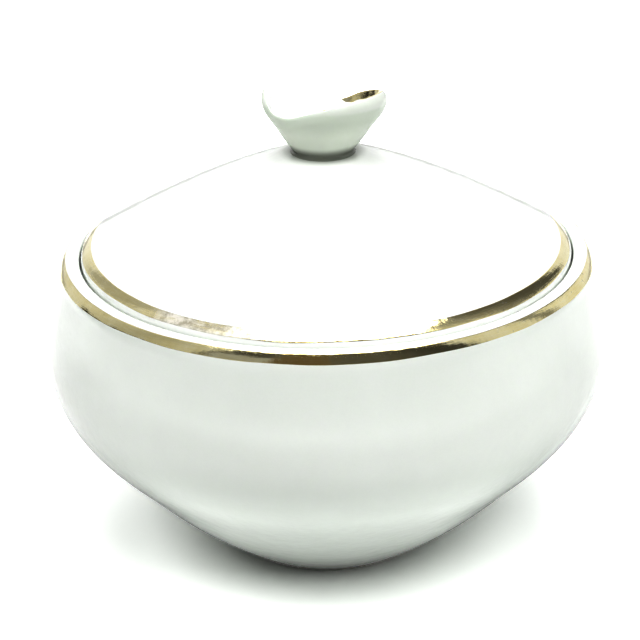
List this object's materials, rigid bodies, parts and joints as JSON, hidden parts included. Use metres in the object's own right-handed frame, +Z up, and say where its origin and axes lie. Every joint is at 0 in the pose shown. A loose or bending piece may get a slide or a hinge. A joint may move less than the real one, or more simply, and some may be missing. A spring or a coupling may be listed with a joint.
{
  "type": "covered sugar bowl",
  "caption": "Low round porcelain sugar bowl on a narrow foot with a lift-off domed lid, a cup-shaped lid knob and fired gilt edge lines.",
  "frame": {"origin": "centre of the foot ring's resting plane, on the axis of the bowl", "axes": "+Z up along the axis of the bowl and lid; -Y is the front the knob's raised lip is turned to; +X is to the right seen from the front"},
  "size_m": [0.12, 0.12, 0.1015],
  "materials": {
    "bowl_porcelain": "clear gloss glaze over white porcelain, faint cool green cast, foot ring ground bare",
    "bowl_gilding": "burnished fired gold, slightly brushed, thin and a little worn",
    "lid_porcelain": "clear gloss glaze over white porcelain",
    "lid_gilding": "burnished fired gold, slightly brushed, thin and a little worn",
    "knob_porcelain": "clear gloss glaze over white porcelain, glaze pooled at the neck",
    "knob_gilding": "burnished fired gold, hand-lined"
  },
  "bodies": {
    "bowl": {"bowl_body": "bowl_porcelain", "bowl_gilt_band": "bowl_gilding"},
    "lid": {"lid_shell": "lid_porcelain", "lid_gilt_band": "lid_gilding", "lid_knob": "knob_porcelain", "knob_gilt_edge": "knob_gilding"}
  },
  "joints": [
    {"name": "lid_lift", "type": "slide", "parent": "bowl", "child": "lid", "axis": [0, 0, 1], "range_m": [0, 0.06]}
  ]
}
